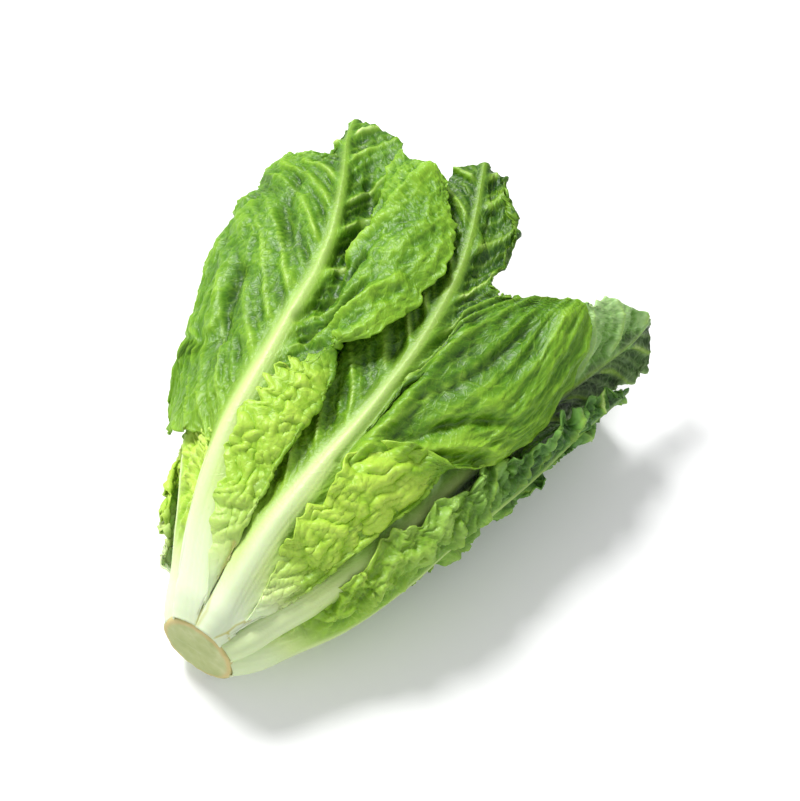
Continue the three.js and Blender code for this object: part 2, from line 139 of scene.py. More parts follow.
STATION_Y = np.array([0, 20, 50, 80, 110, 140, 170, 200, 230, 260, 290], float)
LEFT_REACH = [20, 27, 46, 67, 83, 97, 111, 118, 119, 112, 100]
RIGHT_REACH = [20, 31, 51, 66, 76, 85, 93, 99, 106, 110, 104]
TOP_HEIGHT = [49, 57, 71, 81, 87, 90, 92, 93, 94, 94, 93]
BOTTOM_HEIGHT = [9, 4, 0, 0, 0, 0, 0, 0, 0, 2, 6]
SAG_HEIGHT = 3.0
REST_PLANE = 2.6
SIDE_SPREAD = 1.6
SHEET_LIFT = 0.5
STEM_RADIUS = 19.0
CUT_SLOPE = 0.16


def smooth_between(values, place):
    """The smooth curve through numbered values, read at places between them."""
    values = np.asarray(values, float)
    last = len(values) - 1
    place = np.clip(place, 0, last)
    i = np.minimum(place.astype(int), last - 1)
    t = place - i
    padded = np.concatenate([
        2 * values[:1] - values[1:2], values, 2 * values[-1:] - values[-2:-1],
    ])
    before, start, end, after = (padded[i + k] for k in range(4))
    t = t.reshape(t.shape + (1,) * (values.ndim - 1))
    start_slope = (end - before) / 2
    end_slope = (after - start) / 2
    return ((2 * t**3 - 3 * t**2 + 1) * start + (t**3 - 2 * t**2 + t) * start_slope
            + (3 * t**2 - 2 * t**3) * end + (t**3 - t**2) * end_slope)


def on_head(y, angle, depth):
    """Points in mm: y along the head, angle round it from the top, depth inwards."""
    place = np.interp(y, STATION_Y, np.arange(len(STATION_Y)))
    turn = np.radians(angle)
    side = np.sin(turn)
    left = smooth_between(LEFT_REACH, place)
    right = smooth_between(RIGHT_REACH, place)
    reach = np.where(side < 0, left, right)
    top = smooth_between(TOP_HEIGHT, place)
    bottom = smooth_between(BOTTOM_HEIGHT, place)
    middle = (top + bottom) / 2
    half = (top - bottom) / 2
    sag = np.maximum(0, SAG_HEIGHT - (middle + half * np.cos(turn)))
    x = (reach - depth * SIDE_SPREAD) * side
    z = middle + (half - depth) * np.cos(turn) + sag
    return np.stack([x, y, z], -1)


# Seeded patterns

def lattice_noise(u, v, seed):
    """Smooth random hills over a plane, about one to a unit, between -1 and 1."""
    rng = np.random.default_rng(seed)
    size = 64
    heights = rng.uniform(-1, 1, (size, size))
    iu = np.floor(u).astype(int)
    iv = np.floor(v).astype(int)
    fu = u - iu
    fv = v - iv
    fu = fu * fu * (3 - 2 * fu)
    fv = fv * fv * (3 - 2 * fv)
    a = heights[iu % size, iv % size]
    b = heights[(iu + 1) % size, iv % size]
    c = heights[iu % size, (iv + 1) % size]
    d = heights[(iu + 1) % size, (iv + 1) % size]
    return (a * (1 - fu) + b * fu) * (1 - fv) + (c * (1 - fu) + d * fu) * fv


def cell_edges(u, v, seed):
    """How far a point is from the border of its random cell: 0 on it, about 1 inside."""
    rng = np.random.default_rng(seed)
    size = 97
    jitter = rng.uniform(0.12, 0.88, (size, size, 2))
    iu = np.floor(u).astype(int)
    iv = np.floor(v).astype(int)
    nearest = np.full(u.shape, 9.0)
    second = np.full(u.shape, 9.0)
    for du in (-1, 0, 1):
        for dv in (-1, 0, 1):
            seeds = jitter[(iu + du) % size, (iv + dv) % size]
            gap = np.hypot(iu + du + seeds[..., 0] - u, iv + dv + seeds[..., 1] - v)
            second = np.where(gap < nearest, nearest, np.minimum(second, gap))
            nearest = np.minimum(nearest, gap)
    return np.clip((second - nearest) * 1.6, 0, 1)


def puffs(u, v, seed):
    """Uneven soft puffs with creases between them: 0 in a crease, about 1 on top."""
    bent_u = u + 0.5 * lattice_noise(0.9 * u, 0.9 * v, seed)
    bent_v = v + 0.5 * lattice_noise(0.9 * v, 0.9 * u, seed + 1)
    large = lattice_noise(bent_u + 0.4 * bent_v, bent_v - 0.4 * bent_u, seed + 2)
    small = lattice_noise(2.3 * bent_v, 2.3 * bent_u, seed + 3)
    return 0.7 * (large**2 + 0.003) ** 0.25 + 0.4 * (small**2 + 0.003) ** 0.25


def ridge(distance, width):
    return np.exp(-(distance / width) ** 2)


def ease(value, low, high):
    t = np.clip((value - low) / (high - low), 0, 1)
    return t * t * (3 - 2 * t)


# Leaves

# What each leaf starts from, in mm or as shares. A leaf may change any of these.
LEAF_LOOK = {
    # Grid, guide line of the rib, and whether the leaf lies on the ground.
    "rows": 240, "columns": 110, "rib_line": 1, "rests": False, "seed": 1,
    # Rib, and how the stalk is rounded off towards its edges.
    "rib_height": 2.4, "rib_half_width": 9.0, "stalk_round": 2.6,
    # Relief of the blade, and creases given one by one.
    "blister": 0.7, "swell": 2.4, "crumple": 0.9, "puff": 0.0, "puff_size": 7.0, "creases": [],
    # Free edge: waves, teeth, and bites of [side, y, width, degrees].
    "ripple": 1.2, "waves": 6, "teeth": 0.8, "bites": [],
    # Folded back past this guide line, up to this far along the head.
    "fold_line": None, "fold_until": 150.0, "fold_teeth": 0.6,
    # Colour: pale base, young green, painted shade on the right side of the rib, tip and scars.
    "pale_until": 60.0, "whiteness": 1.0, "grown_at": 75.0,
    "young": 0.0, "young_base": 0.5, "young_until": 170.0,
    "shade": 0.0, "dark_tip": 0.0, "scars": [],
}

# The same for all leaves.
BLADE_THICKNESS = 0.8
BASE_BULGE = 2.2
BASE_TUCK = 1.4
WAVE_DRAW = 0.6
TOOTH_DRAW = 0.5
RIB_TIP_HEIGHT = 0.5
RIB_TIP_HALF_WIDTH = 1.3
KEEL_WIDTH_SHARE = 0.35
VEIN_GAP = 25.0
VEIN_WIDTH = 1.3
VEIN_SLOPE = 1.7
VEIN_REACH = 30
FINE_VEIN_GAP = 9.25
FINE_VEIN_WIDTH = 0.7
FINE_VEIN_HEIGHT = 0.4
PLEAT_HEIGHT = 2.0
BLISTER_SIZE = 5.0
FOLD_PUFF_HEIGHT = 4.6
FOLD_TUCK_DEPTH = 2.0
STREAK_HEIGHT = 0.05
COLUMN_PULL = 0.06


def leaf_grid(look):
    """Places of a leaf's grid on the head, and how far each is from the rib, in mm."""
    rows, rib_line = look["rows"], look["rib_line"]
    lines = [np.array(line, float) for line in look["lines"]]
    spans = len(lines) - 1
    along = np.linspace(0, 1, rows)
    stops = np.stack([smooth_between(line, along * (len(line) - 1)) for line in lines])
    even = np.linspace(0, 1, look["columns"])
    off_rib = np.clip((even - rib_line / spans) * 1.6, -0.5, 0.5)
    across = np.clip(even - COLUMN_PULL * np.sin(2 * np.pi * off_rib), 0, 1) * spans
    sheet = np.moveaxis(smooth_between(stops, across), 0, 1)
    from_rib = across - rib_line
    edge_span = np.where(from_rib < 0, max(rib_line, 1), max(spans - rib_line, 1))

    flat = on_head(sheet[..., 0], sheet[..., 1], sheet[..., 2])
    step_over = np.linalg.norm(np.diff(flat, axis=1), axis=2)
    over = np.concatenate([np.zeros((rows, 1)), np.cumsum(step_over, 1)], 1)
    rib_column = int(np.argmin(np.abs(from_rib)))
    over = over - over[:, rib_column:rib_column + 1]
    step_along = np.linalg.norm(np.diff(flat[:, rib_column], axis=0), axis=1)
    length = np.concatenate([[0], np.cumsum(step_along)])[:, None]
    all_over = np.zeros_like(over)
    return SimpleNamespace(
        y=sheet[..., 0], angle=sheet[..., 1], depth=sheet[..., 2],
        along=along[:, None] + all_over, length=length + all_over,
        over=over, reach=np.abs(over), side=np.sign(from_rib) + all_over,
        edge=np.abs(from_rib) / edge_span + all_over,
        folded=folded_share(look, across + all_over, sheet[..., 0]),
    )


def folded_share(look, across, y):
    """1 on the part of the blade that is folded back, 0 elsewhere."""
    if look["fold_line"] is None:
        return np.zeros_like(across)
    past = ease(across, look["fold_line"] - 0.25, look["fold_line"] + 0.6)
    return past * (1 - ease(y, look["fold_until"] - 18, look["fold_until"] + 6))


def sheet_normals(points):
    over = np.gradient(points, axis=1)
    up = np.gradient(points, axis=0)
    normals = np.cross(over, up)
    return normals / np.maximum(np.linalg.norm(normals, axis=2, keepdims=True), 1e-9)


def edge_waves(look, grid):
    """Waves and teeth of the free edge: how far it lifts, and how far it is drawn out."""
    seed = look["seed"]
    wave = np.sin(2 * np.pi * look["waves"] * grid.along + grid.side)
    curl = lattice_noise(grid.length / 13, 3.0 + grid.side, seed + 5)
    lift = look["ripple"] * grid.edge**3 * (0.6 * wave + curl) * np.minimum(1, grid.along / 0.15)
    fine = lattice_noise(grid.length / 2.6, 9.0 + grid.side, seed + 6)
    lobes = 0.7 - 2 * np.abs(lattice_noise(grid.length / 8.0, 5.0 + grid.side, seed + 9))
    tooth = look["teeth"] * (0.6 * fine + 1.8 * lobes) * grid.edge**5 * ease(grid.length, 14, 55)
    return lift * (1 + 0.8 * grid.folded), tooth * (1 + look["fold_teeth"] * grid.folded)


def tip_teeth(look, grid):
    """How far the end of the blade is drawn out along the head, in mm."""
    fine = lattice_noise(grid.over / 2.6, 3.0 + 0 * grid.over, look["seed"] + 16)
    lobes = lattice_noise(grid.over / 19.0, 8.0 + 0 * grid.over, look["seed"] + 17)
    drawn = 0.6 * fine + 1.4 * (0.7 - 2 * np.abs(lobes))
    return look["teeth"] * drawn * ease(grid.along, 0.9, 1) ** 2


def sheet_points(look, grid):
    """The waved and toothed sheet before its relief, in mm on the head."""
    lift, tooth = edge_waves(look, grid)
    angle = grid.angle
    for side, y, width, degrees in look["bites"]:
        bitten = degrees * ridge(grid.y - y, width) * grid.edge**5 * (grid.side == side)
        angle = angle - side * bitten
    outward = grid.side * np.sign(np.gradient(angle, axis=1))
    at_base = 1 - ease(grid.y, 0, 30)
    slanted = CUT_SLOPE * STEM_RADIUS * (1 + np.cos(np.radians(angle))) * at_base
    tuck = BASE_TUCK * (1 - ease(grid.y, 0, 8))
    y = grid.y + slanted + WAVE_DRAW * lift + TOOTH_DRAW * tooth + tip_teeth(look, grid)
    return on_head(y, angle + outward * tooth, grid.depth + lift + tuck)


def side_veins(look, grid, gap, over):
    """Distance from the nearest side vein in mm, and the place between two veins, 0 to 1."""
    reach = np.abs(over)
    wander = 3 * lattice_noise(grid.length / 21, over / 21, look["seed"] + 1)
    slope = VEIN_SLOPE * (1 - 0.4 * grid.along)
    leaned = grid.length + wander - slope * reach - 0.006 * reach**2
    place = leaned / gap + 0.5 * (grid.side > 0)
    number = np.floor(place).astype(int)
    shifts = np.random.default_rng(look["seed"] + 2).uniform(-0.2, 0.2, 400)
    start = number + shifts[number % 400]
    end = number + 1 + shifts[(number + 1) % 400]
    between = np.clip((place - start) / (end - start), 0, 1)
    off = np.minimum(np.abs(place - start), np.abs(place - end)) * gap / 2
    return off, between


def along_paths(grid, paths):
    """Sum of ridges drawn on a leaf, each a path of [y, angle], a width, a height."""
    flat = on_head(grid.y, grid.angle, 0)
    total = np.zeros(grid.y.shape)
    for stops, width, height in paths:
        stops = np.array(stops, float)
        path = on_head(stops[:, 0], stops[:, 1], 0)
        nearest = np.full(grid.y.shape, 1e9)
        for start, end in zip(path[:-1], path[1:]):
            line = end - start
            share = np.clip((flat - start) @ line / (line @ line), 0, 1)
            off = np.linalg.norm(flat - start - share[..., None] * line, axis=-1)
            nearest = np.minimum(nearest, off)
        total = total + height * ridge(nearest, width)
    return total


def mark_rib_and_veins(look, grid, marks):
    """Rib, side veins, and the humps of blade between the veins, each 0 to about 1."""
    marks.rib_half_width = (
        look["rib_half_width"] * (1 - grid.along) ** 1.2 + RIB_TIP_HALF_WIDTH)
    marks.rib = ridge(grid.over, marks.rib_half_width)
    marks.keel = ridge(grid.over, KEEL_WIDTH_SHARE * marks.rib_half_width)
    near_rib = np.exp(-grid.reach / VEIN_REACH)
    started = ease(grid.reach, 1, 5) * ease(grid.length, 25, 60)
    off, between = side_veins(look, grid, VEIN_GAP, grid.over)
    fine_off, fine_between = side_veins(look, grid, FINE_VEIN_GAP, grid.over * 1.05)
    width = VEIN_WIDTH * np.clip(1 - grid.reach / 80, 0.4, 1)
    marks.vein = ridge(off, width) * started * (0.3 + near_rib)
    marks.fine_vein = ridge(fine_off, FINE_VEIN_WIDTH) * started * (0.2 + near_rib)
    marks.hump = np.sin(np.pi * between) * (0.25 + near_rib)
    marks.hump += 0.3 * np.sin(np.pi * fine_between) * (0.2 + near_rib)


def mark_blisters(look, grid, marks):
    """Blisters, puffs, tucks, swells and crumples of the blade."""
    seed, length, over, folded = look["seed"], grid.length, grid.over, grid.folded
    size = BLISTER_SIZE * (1 + 0.3 * folded)
    leaning = length - 0.8 * grid.reach * (1 - folded)
    warp = 0.5 * lattice_noise(length / 6, over / 6, seed + 3)
    cells = cell_edges(leaning / size + warp, over / size * 0.8 - warp, seed + 4)
    marks.blister = 0.5 - (1 - cells) ** 2
    marks.small_blister = cell_edges(
        leaning / size * 2.2 + warp, over / size * 2.2, seed + 7) - 0.5
    marks.puff = puffs(length / look["puff_size"], over / look["puff_size"], seed + 20) - 0.5
    marks.tuck = 1 - 2 * np.abs(lattice_noise(length / 15, over / 24, seed + 14))
    marks.swell = lattice_noise(leaning / 30, over / 26, seed + 8)
    marks.crumple = 1 - 2 * np.abs(lattice_noise(leaning / 13, over / 8, seed + 12))
    grown = ease(length, look["grown_at"] / 3, look["grown_at"])
    half_width = marks.rib_half_width
    marks.bladed = ease(grid.reach, half_width * 0.7, half_width * 1.6 + 3) * grown


def stalk_relief(look, grid, marks):
    """How far the rib and the stalk's base stand out, in mm."""
    rib_height = look["rib_height"] * (1 - grid.along) ** 1.1 + RIB_TIP_HEIGHT
    rib = rib_height * (0.7 * marks.rib + 0.3 * marks.keel)
    rounded = look["stalk_round"] * grid.edge**3 * (1 - ease(grid.length, 15, 80))
    near_base = (1 - ease(grid.length, 10, 95)) * ease(grid.y, 1, 16)
    bulge = BASE_BULGE * (1 - grid.edge**2) * near_base
    ragged = 3 * lattice_noise(grid.length / 40, grid.over / 9, look["seed"] + 13)
    streaks = STREAK_HEIGHT * np.sin(grid.over * 2.6 + ragged)
    streaks = streaks * (1 - marks.bladed) * ease(grid.reach, 1, 4)
    return rib - rounded + bulge + streaks


def blade_relief(look, grid, marks):
    """How far veins, pleats, blisters and folds stand out of the blade, in mm."""
    flat = 1 - grid.folded
    veins = marks.vein + FINE_VEIN_HEIGHT * marks.fine_vein
    pleats = PLEAT_HEIGHT * marks.hump * (1 - 0.7 * grid.folded)
    cells = marks.blister + 0.4 * marks.small_blister
    blisters = look["blister"] * (1 - 0.6 * grid.folded) * cells
    rolling = look["swell"] * marks.swell + look["crumple"] * marks.crumple * flat
    puffed = look["puff"] * marks.puff * flat
    ruffled = grid.folded * (FOLD_PUFF_HEIGHT * marks.puff - FOLD_TUCK_DEPTH * marks.tuck)
    return marks.bladed * (veins - pleats - blisters + rolling + puffed - ruffled)


def leaf_shades(look, grid, marks):
    """Shares that the material reads: pale, young, height (painted shade and light), rim (painted
    light) and scar, each 0 to 1.
    """
    folded, length = grid.folded, grid.length
    from_base = length + 0.5 * grid.reach * (1 - folded)
    base = 1 - ease(from_base, look["pale_until"] * 0.3, look["pale_until"] * 1.7)
    base = base * (1 - 0.4 * folded * ease(length, 20, 60))
    rib = ridge(grid.over, 1.15 * marks.rib_half_width) * (1 - 0.7 * grid.along)
    veins = marks.bladed * (0.45 * marks.vein + 0.2 * marks.fine_vein)
    pale = np.maximum(base, np.maximum(rib, veins))

    young = look["young"] + look["young_base"] * (1 - ease(length, 40, look["young_until"]))
    on_side = (grid.side > 0) - 0.5 * (grid.side < 0)
    # Height is painted shade and light: darker on sunken blister cells, humps and crease valleys,
    # lighter on crumples, swells, crease crests and puffs.
    height = 0.45 - 0.3 * marks.blister - 0.45 * (marks.hump - 0.4)
    height = height + 0.2 * marks.crumple + 0.2 * marks.swell
    # The shade share paints shade on the right of the rib and light on its left; below 0 it turns
    # these round.
    height = height - look["shade"] * on_side * ease(grid.reach, 1, 6)
    height = height + 0.12 * marks.crease + 0.11 * look["puff"] * marks.puff
    height = height - look["dark_tip"] * ease(grid.along, 0.55, 0.9)
    # On folded strips, painted light on the tops of puffs and small blisters.
    folded_painted_shade = 0.68 + 1.1 * marks.puff + 0.2 * marks.small_blister
    height = height * (1 - folded) + folded_painted_shade * folded
    return {
        "pale": np.clip(look["whiteness"] * pale, 0, 1),
        "young": np.clip(young + 0.5 * folded, 0, 1),
        "height": np.clip(height, 0, 1),
        # Rim: painted light at the thin free margin, as if light shone through it.
        "rim": grid.edge**12,
        "scar": np.clip(np.abs(marks.scar), 0, 1),
    }


def leaf_points(look):
    """A leaf's points in mm, its shades, and its places along and across in mm."""
    grid = leaf_grid(look)
    marks = SimpleNamespace()
    mark_rib_and_veins(look, grid, marks)
    mark_blisters(look, grid, marks)
    marks.crease = along_paths(grid, look["creases"])
    marks.scar = along_paths(grid, look["scars"])
    relief = stalk_relief(look, grid, marks) + blade_relief(look, grid, marks)
    relief = relief + marks.crease + 0.5 * marks.scar
    points = sheet_points(look, grid)
    points = points + sheet_normals(points) * (SHEET_LIFT + relief)[..., None]
    if look["rests"]:
        points[..., 2] = np.maximum(points[..., 2], REST_PLANE)
    return points, leaf_shades(look, grid, marks), grid.length, grid.over


# Pieces

def take_mesh(shape, name):
    mesh = bpy.data.meshes.new(name)
    shape.to_mesh(mesh)
    shape.free()
    return mesh


def read_places(mesh):
    flat = np.zeros(len(mesh.vertices) * 3)
    mesh.vertices.foreach_get("co", flat)
    return flat.reshape(-1, 3)


def move_places(mesh, points):
    """Moves a mesh's vertices to points on the head in mm."""
    mesh.vertices.foreach_set("co", ((points + ORIGIN) * MM).ravel())


def add_shares(mesh, shades):
    for label, values in shades.items():
        made = mesh.attributes.new(label, "FLOAT", "POINT")
        made.data.foreach_set("value", values.astype(np.float32))


def add_piece(name, mesh, material, cad_node):
    mesh.polygons.foreach_set("use_smooth", np.ones(len(mesh.polygons), bool))
    mesh.update()
    piece = bpy.data.objects.new(name, mesh)
    bpy.context.scene.collection.objects.link(piece)
    piece.data.materials.append(material)
    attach(piece, "root")
    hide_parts(cad_node)
    return piece


def grid_mesh(name, points, shades, length, over):
    """A grid made by Blender's own operator, with its vertices moved to points."""
    rows, columns = points.shape[:2]
    shape = bmesh.new()
    bmesh.ops.create_grid(shape, x_segments=columns - 1, y_segments=rows - 1, size=0.5)
    mesh = take_mesh(shape, name)
    even = read_places(mesh)
    column = np.rint((even[:, 0] + 0.5) * (columns - 1)).astype(int)
    row = np.rint((even[:, 1] + 0.5) * (rows - 1)).astype(int)
    move_places(mesh, points[row, column])
    add_shares(mesh, {label: values[row, column] for label, values in shades.items()})
    place = np.stack([length, over, 0 * over], -1)[row, column] * MM
    made = mesh.attributes.new("leaf_place", "FLOAT_VECTOR", "POINT")
    made.data.foreach_set("vector", place.astype(np.float32).ravel())
    return mesh


def add_wall(piece):
    wall = piece.modifiers.new("wall", "SOLIDIFY")
    wall.thickness = BLADE_THICKNESS * MM
    wall.offset = -1


def add_leaf(name, cad_node, slot, material, lines, **changes):
    points, shades, length, over = leaf_points({**LEAF_LOOK, **changes, "lines": lines})
    mesh = grid_mesh(name, points, shades, length, over)
    add_wall(add_piece(name, mesh, material, cad_node))


# Materials

# Colours as seen on a screen, in 0 to 255. A blade's run from deep hollows to light tops.
OUTER_BLADE = ((28, 70, 0), (77, 128, 2), (142, 188, 44))
# The shaded blade runs deeper for painted shade and lighter and bluer for a painted sheen.
SHADED_BLADE = ((8, 38, 0), (96, 146, 44), (184, 218, 148))
CRINKLED_BLADE = ((12, 46, 4), (50, 100, 18), (120, 170, 76))
INNER_BLADE = ((104, 158, 30), (150, 200, 54), (200, 230, 124))
HEART_BLADE = ((178, 196, 70), (206, 218, 104), (232, 238, 170))
YOUNG_BLADE = ((98, 148, 2), (150, 198, 26), (204, 232, 92))
VEIN_GREEN = (150, 190, 62)
STALK_GREEN = (200, 222, 140)
STALK_WHITE = (216, 230, 192)
SCAR_TAN = (186, 180, 82)
CUT_FACE = ((164, 176, 104), (180, 190, 124), (200, 206, 148))
CUT_RIM = (206, 184, 118)

# How fine each pattern is, in repeats per metre.
PATCHES_PER_M = 45.0
THREADS_PER_M = 330.0
CORDS_PER_M = 120.0
GRAIN_PER_M = 700.0
PUCKERS_PER_M = 260.0
STAINS_PER_M = 90.0
CUT_GRAIN_PER_M = 500.0

LEAF_ROUGHNESS = 0.34
LEAF_SPECULAR = 0.4
LEAF_BUMP_M = 0.0012
LEAF_SKIN = (0.6, 1.0, 0.25)
CUT_ROUGHNESS = 0.55
CUT_BUMP_M = 0.0005
CUT_SKIN = (1.0, 0.8, 0.4)
BUMP_STRENGTH = 0.5
SKIN_WEIGHT = 0.2
SKIN_DEPTH_M = 0.002


def linear(red, green, blue):
    """A colour as seen on a screen, in 0 to 255, as the light values that nodes use."""
    values = [c / 255 for c in (red, green, blue)]
    return tuple(c / 12.92 if c < 0.04045 else ((c + 0.055) / 1.055) ** 2.4
                 for c in values) + (1.0,)


def new_material(name):
    material = bpy.data.materials.new(name)
    material.use_nodes = True
    return material, material.node_tree, material.node_tree.nodes["Principled BSDF"]


def attribute(tree, name, output="Fac"):
    made = tree.nodes.new("ShaderNodeAttribute")
    made.attribute_name = name
    return made.outputs[output]


def maths(tree, operation, first, second, clamp=False):
    made = tree.nodes.new("ShaderNodeMath")
    made.operation = operation
    made.use_clamp = clamp
    for socket, value in zip(made.inputs, (first, second)):
        if isinstance(value, float):
            socket.default_value = value
        else:
            tree.links.new(value, socket)
    return made.outputs[0]


def scaled(tree, value, factor):
    return maths(tree, "MULTIPLY", value, factor, True)


def add_up(tree, *values):
    total = values[0]
    for value in values[1:]:
        total = maths(tree, "ADD", total, value)
    return maths(tree, "MAXIMUM", maths(tree, "MINIMUM", total, 1.0), 0.0)


def blend_colors(tree, factor, first, second):
    made = tree.nodes.new("ShaderNodeMix")
    made.data_type = "RGBA"
    sockets = (made.inputs[0], made.inputs[6], made.inputs[7])
    for socket, value in zip(sockets, (factor, first, second)):
        if isinstance(value, tuple):
            socket.default_value = value
        else:
            tree.links.new(value, socket)
    return made.outputs[2]


def noise_on(tree, place, scale, detail):
    made = tree.nodes.new("ShaderNodeTexNoise")
    made.inputs["Scale"].default_value = scale
    made.inputs["Detail"].default_value = detail
    tree.links.new(place, made.inputs["Vector"])
    return made.outputs["Fac"]


def net_on(tree, place, scale, sharpness):
    """A net of fine veins: 1 on a vein, 0 inside its meshes."""
    made = tree.nodes.new("ShaderNodeTexVoronoi")
    made.feature = "DISTANCE_TO_EDGE"
    made.inputs["Scale"].default_value = scale
    tree.links.new(place, made.inputs["Vector"])
    away = maths(tree, "MULTIPLY", made.outputs["Distance"], sharpness)
    return maths(tree, "SUBTRACT", 1.0, away, True)


def color_ramp(tree, factor, stops):
    made = tree.nodes.new("ShaderNodeValToRGB")
    ramp = made.color_ramp
    ramp.elements[0].position, ramp.elements[0].color = stops[0]
    ramp.elements[1].position, ramp.elements[1].color = stops[-1]
    for position, color in stops[1:-1]:
        ramp.elements.new(position).color = color
    tree.links.new(factor, made.inputs["Fac"])
    return made.outputs["Color"]


def three_color_ramp(tree, factor, positions, colors):
    return color_ramp(tree, factor, [
        (position, linear(*color)) for position, color in zip(positions, colors)])


def add_bump(tree, shader, heights, distance):
    bump = tree.nodes.new("ShaderNodeBump")
    bump.inputs["Strength"].default_value = BUMP_STRENGTH
    bump.inputs["Distance"].default_value = distance
    tree.links.new(heights, bump.inputs["Height"])
    tree.links.new(bump.outputs["Normal"], shader.inputs["Normal"])


def add_soft_skin(shader, radius):
    shader.inputs["Subsurface Weight"].default_value = SKIN_WEIGHT
    shader.inputs["Subsurface Radius"].default_value = radius
    shader.inputs["Subsurface Scale"].default_value = SKIN_DEPTH_M


def blade_color(tree, colors, patches, net):
    """Old or young green by height, which is painted shade and light, and by patches, lighter on
    its veins and on its rim, which is painted light.
    """
    young = attribute(tree, "young")
    # Painted shade: height darkens the tone in hollows and creases and lightens it on tops.
    height = scaled(tree, attribute(tree, "height"), 0.7)
    tone = add_up(tree, scaled(tree, patches, 0.5), height, -0.12)
    old_blade = three_color_ramp(tree, tone, (0.05, 0.5, 0.95), colors)
    young_blade = three_color_ramp(tree, tone, (0.05, 0.5, 0.95), YOUNG_BLADE)
    blade = blend_colors(tree, young, old_blade, young_blade)
    veins = blend_colors(tree, young, linear(*colors[2]), linear(*YOUNG_BLADE[2]))
    blade = blend_colors(tree, net, blade, veins)
    # Rim: painted light at the thin margin.
    return blend_colors(tree, scaled(tree, attribute(tree, "rim"), 0.5), blade, veins)


def stalk_color(tree, colors, pale):
    return color_ramp(tree, pale, [
        (0.0, linear(*colors[2])), (0.35, linear(*VEIN_GREEN)),
        (0.7, linear(*STALK_GREEN)), (1.0, linear(*STALK_WHITE)),
    ])


def leaf_material(name, colors):
    """A blistered blade with a net of veins, a smooth pale stalk and tan scars."""
    material, tree, shader = new_material(name)
    place = attribute(tree, "leaf_place", "Vector")
    pale = attribute(tree, "pale")
    patches = noise_on(tree, place, PATCHES_PER_M, 4.0)
    threads = net_on(tree, place, THREADS_PER_M, 9.0)
    cords = net_on(tree, place, CORDS_PER_M, 14.0)
    net = add_up(tree, scaled(tree, threads, 0.12), scaled(tree, cords, 0.18))

    shade = blend_colors(tree, scaled(tree, pale, 1.5), blade_color(tree, colors, patches, net),
                         stalk_color(tree, colors, pale))
    scar = scaled(tree, attribute(tree, "scar"), 1.1)
    torn = add_up(tree, scar, scaled(tree, patches, 0.5), -0.35)
    shade = blend_colors(tree, torn, shade, linear(*SCAR_TAN))
    tree.links.new(shade, shader.inputs["Base Color"])

    grain = noise_on(tree, place, GRAIN_PER_M, 3.0)
    puckers = noise_on(tree, place, PUCKERS_PER_M, 2.0)
    bumps = add_up(tree, scaled(tree, net, 1.2), scaled(tree, grain, 0.1),
                   scaled(tree, puckers, 0.7))
    off_stalk = maths(tree, "SUBTRACT", 1.0, scaled(tree, pale, 0.9))
    add_bump(tree, shader, maths(tree, "MULTIPLY", bumps, off_stalk), LEAF_BUMP_M)
    rough = add_up(tree, scaled(tree, grain, 0.2), LEAF_ROUGHNESS)
    tree.links.new(rough, shader.inputs["Roughness"])
    shader.inputs["Specular IOR Level"].default_value = LEAF_SPECULAR
    add_soft_skin(shader, LEAF_SKIN)
    return material


def stem_material(name):
    """A moist cut face with faint stains, a tan rim and a pale skirt behind it."""
    material, tree, shader = new_material(name)
    place = tree.nodes.new("ShaderNodeTexCoord").outputs["Object"]
    stains = noise_on(tree, place, STAINS_PER_M, 5.0)
    face = three_color_ramp(tree, stains, (0.3, 0.55, 0.75), CUT_FACE)
    face = blend_colors(tree, attribute(tree, "pale"), face, linear(*STALK_WHITE))
    rim = scaled(tree, attribute(tree, "rim"), 0.9)
    ragged = add_up(tree, rim, scaled(tree, stains, 0.5), -0.3)
    shade = blend_colors(tree, ragged, face, linear(*CUT_RIM))
    tree.links.new(shade, shader.inputs["Base Color"])
    add_bump(tree, shader, noise_on(tree, place, CUT_GRAIN_PER_M, 4.0), CUT_BUMP_M)
    shader.inputs["Roughness"].default_value = CUT_ROUGHNESS
    add_soft_skin(shader, CUT_SKIN)
    return material


# Cut stem

# The turned core's outline, as [radius, y].
STEM_OUTLINE = [
    [0, 0], [9, 0.1], [16, 0.2], [18.8, 0.5], [20.2, 1.3], [20.6, 3], [19.8, 6], [18.6, 11],
    [17.6, 17], [16, 24], [13, 32], [8, 41], [0, 47],
]
STEM_AROUND = 120
STEM_RINGS = 90
STEM_RIM_WIDTH = 1.6


def stem_points(unit):
    """Where points of a unit ball lie on the core in mm, and their rim and skirt shares."""
    share = np.arccos(np.clip(unit[:, 2], -1, 1)) / math.pi
    turn = np.arctan2(unit[:, 1], unit[:, 0])
    ring = smooth_between(STEM_OUTLINE, share * (len(STEM_OUTLINE) - 1))
    radius = np.maximum(ring[:, 0], 0)
    radius = radius * (1 + 0.02 * np.sin(3 * turn + 1) + 0.015 * np.sin(7 * turn))
    x = radius * np.sin(turn)
    z = STEM_AXIS_Z + radius * np.cos(turn)
    on_face = (1 - ease(ring[:, 1], 0.5, 2.5)) * (radius > 0.01)
    rough = 0.25 * lattice_noise(x / 3, z / 3, 81) + 0.12 * lattice_noise(x / 0.9, z / 4, 82)
    leaning = CUT_SLOPE * (z - STEM_AXIS_Z + STEM_RADIUS) * (1 - ease(ring[:, 1], 6, 15))
    y = ring[:, 1] + leaning - on_face * rough
    rim = ridge(radius - STEM_RADIUS, STEM_RIM_WIDTH) * (1 - ease(ring[:, 1], 3, 7))
    return np.stack([x, y, z], -1), {"rim": rim, "pale": ease(ring[:, 1], 2, 5)}


